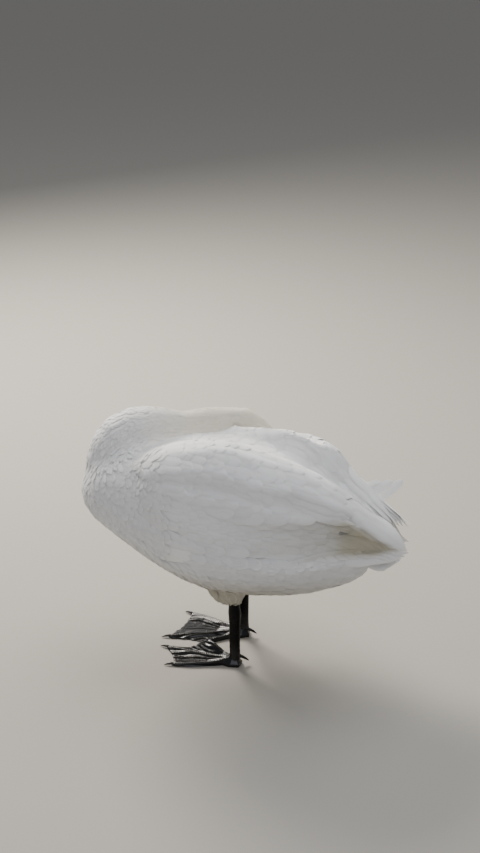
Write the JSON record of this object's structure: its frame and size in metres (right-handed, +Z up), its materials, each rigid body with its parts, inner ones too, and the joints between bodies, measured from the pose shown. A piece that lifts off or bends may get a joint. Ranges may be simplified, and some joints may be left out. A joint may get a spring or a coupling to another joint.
{
  "type": "mute swan",
  "caption": "Still, life-size model of an adult mute swan asleep on its feet, its neck folded back over its body and its bill tucked under the feathers of its right shoulder.",
  "frame": {"origin": "on the floor, below the middle of the box round the swan: half way along its length and on its midline between the legs", "axes": "+Z up; the breast faces -X and the tail points along +X; the bird's left side is towards -Y and its right side, with the head, towards +Y"},
  "size_m": [0.6826, 0.3375, 0.5528],
  "materials": {
    "white_plumage": "matte feathers",
    "cream_plumage": "matte feathers",
    "bill_horn": "satin horn",
    "black_horn": "satin horn",
    "leg_skin": "moist scaled skin",
    "eye": "wet gloss"
  },
  "bodies": {
    "root": {"trunk": "white_plumage", "tail": "white_plumage", "neck_base": "white_plumage", "neck_middle": "cream_plumage", "neck_upper": "cream_plumage", "head": "cream_plumage", "bill_upper": "bill_horn", "bill_lower": "bill_horn", "bill_knob": "black_horn", "eye_left": "eye", "wing_left_scapulars": "white_plumage", "wing_left_tertials": "white_plumage", "wing_left_coverts": "white_plumage", "wing_left_primaries": "white_plumage", "leg_left_shank": "white_plumage", "leg_left_tarsus": "leg_skin", "leg_left_foot": "leg_skin", "claw_left_outer": "black_horn", "claw_left_middle": "black_horn", "claw_left_inner": "black_horn", "eye_right": "eye", "wing_right_scapulars": "white_plumage", "wing_right_tertials": "white_plumage", "wing_right_coverts": "white_plumage", "wing_right_primaries": "white_plumage", "leg_right_shank": "white_plumage", "leg_right_tarsus": "leg_skin", "leg_right_foot": "leg_skin", "claw_right_outer": "black_horn", "claw_right_middle": "black_horn", "claw_right_inner": "black_horn"}
  },
  "joints": []
}
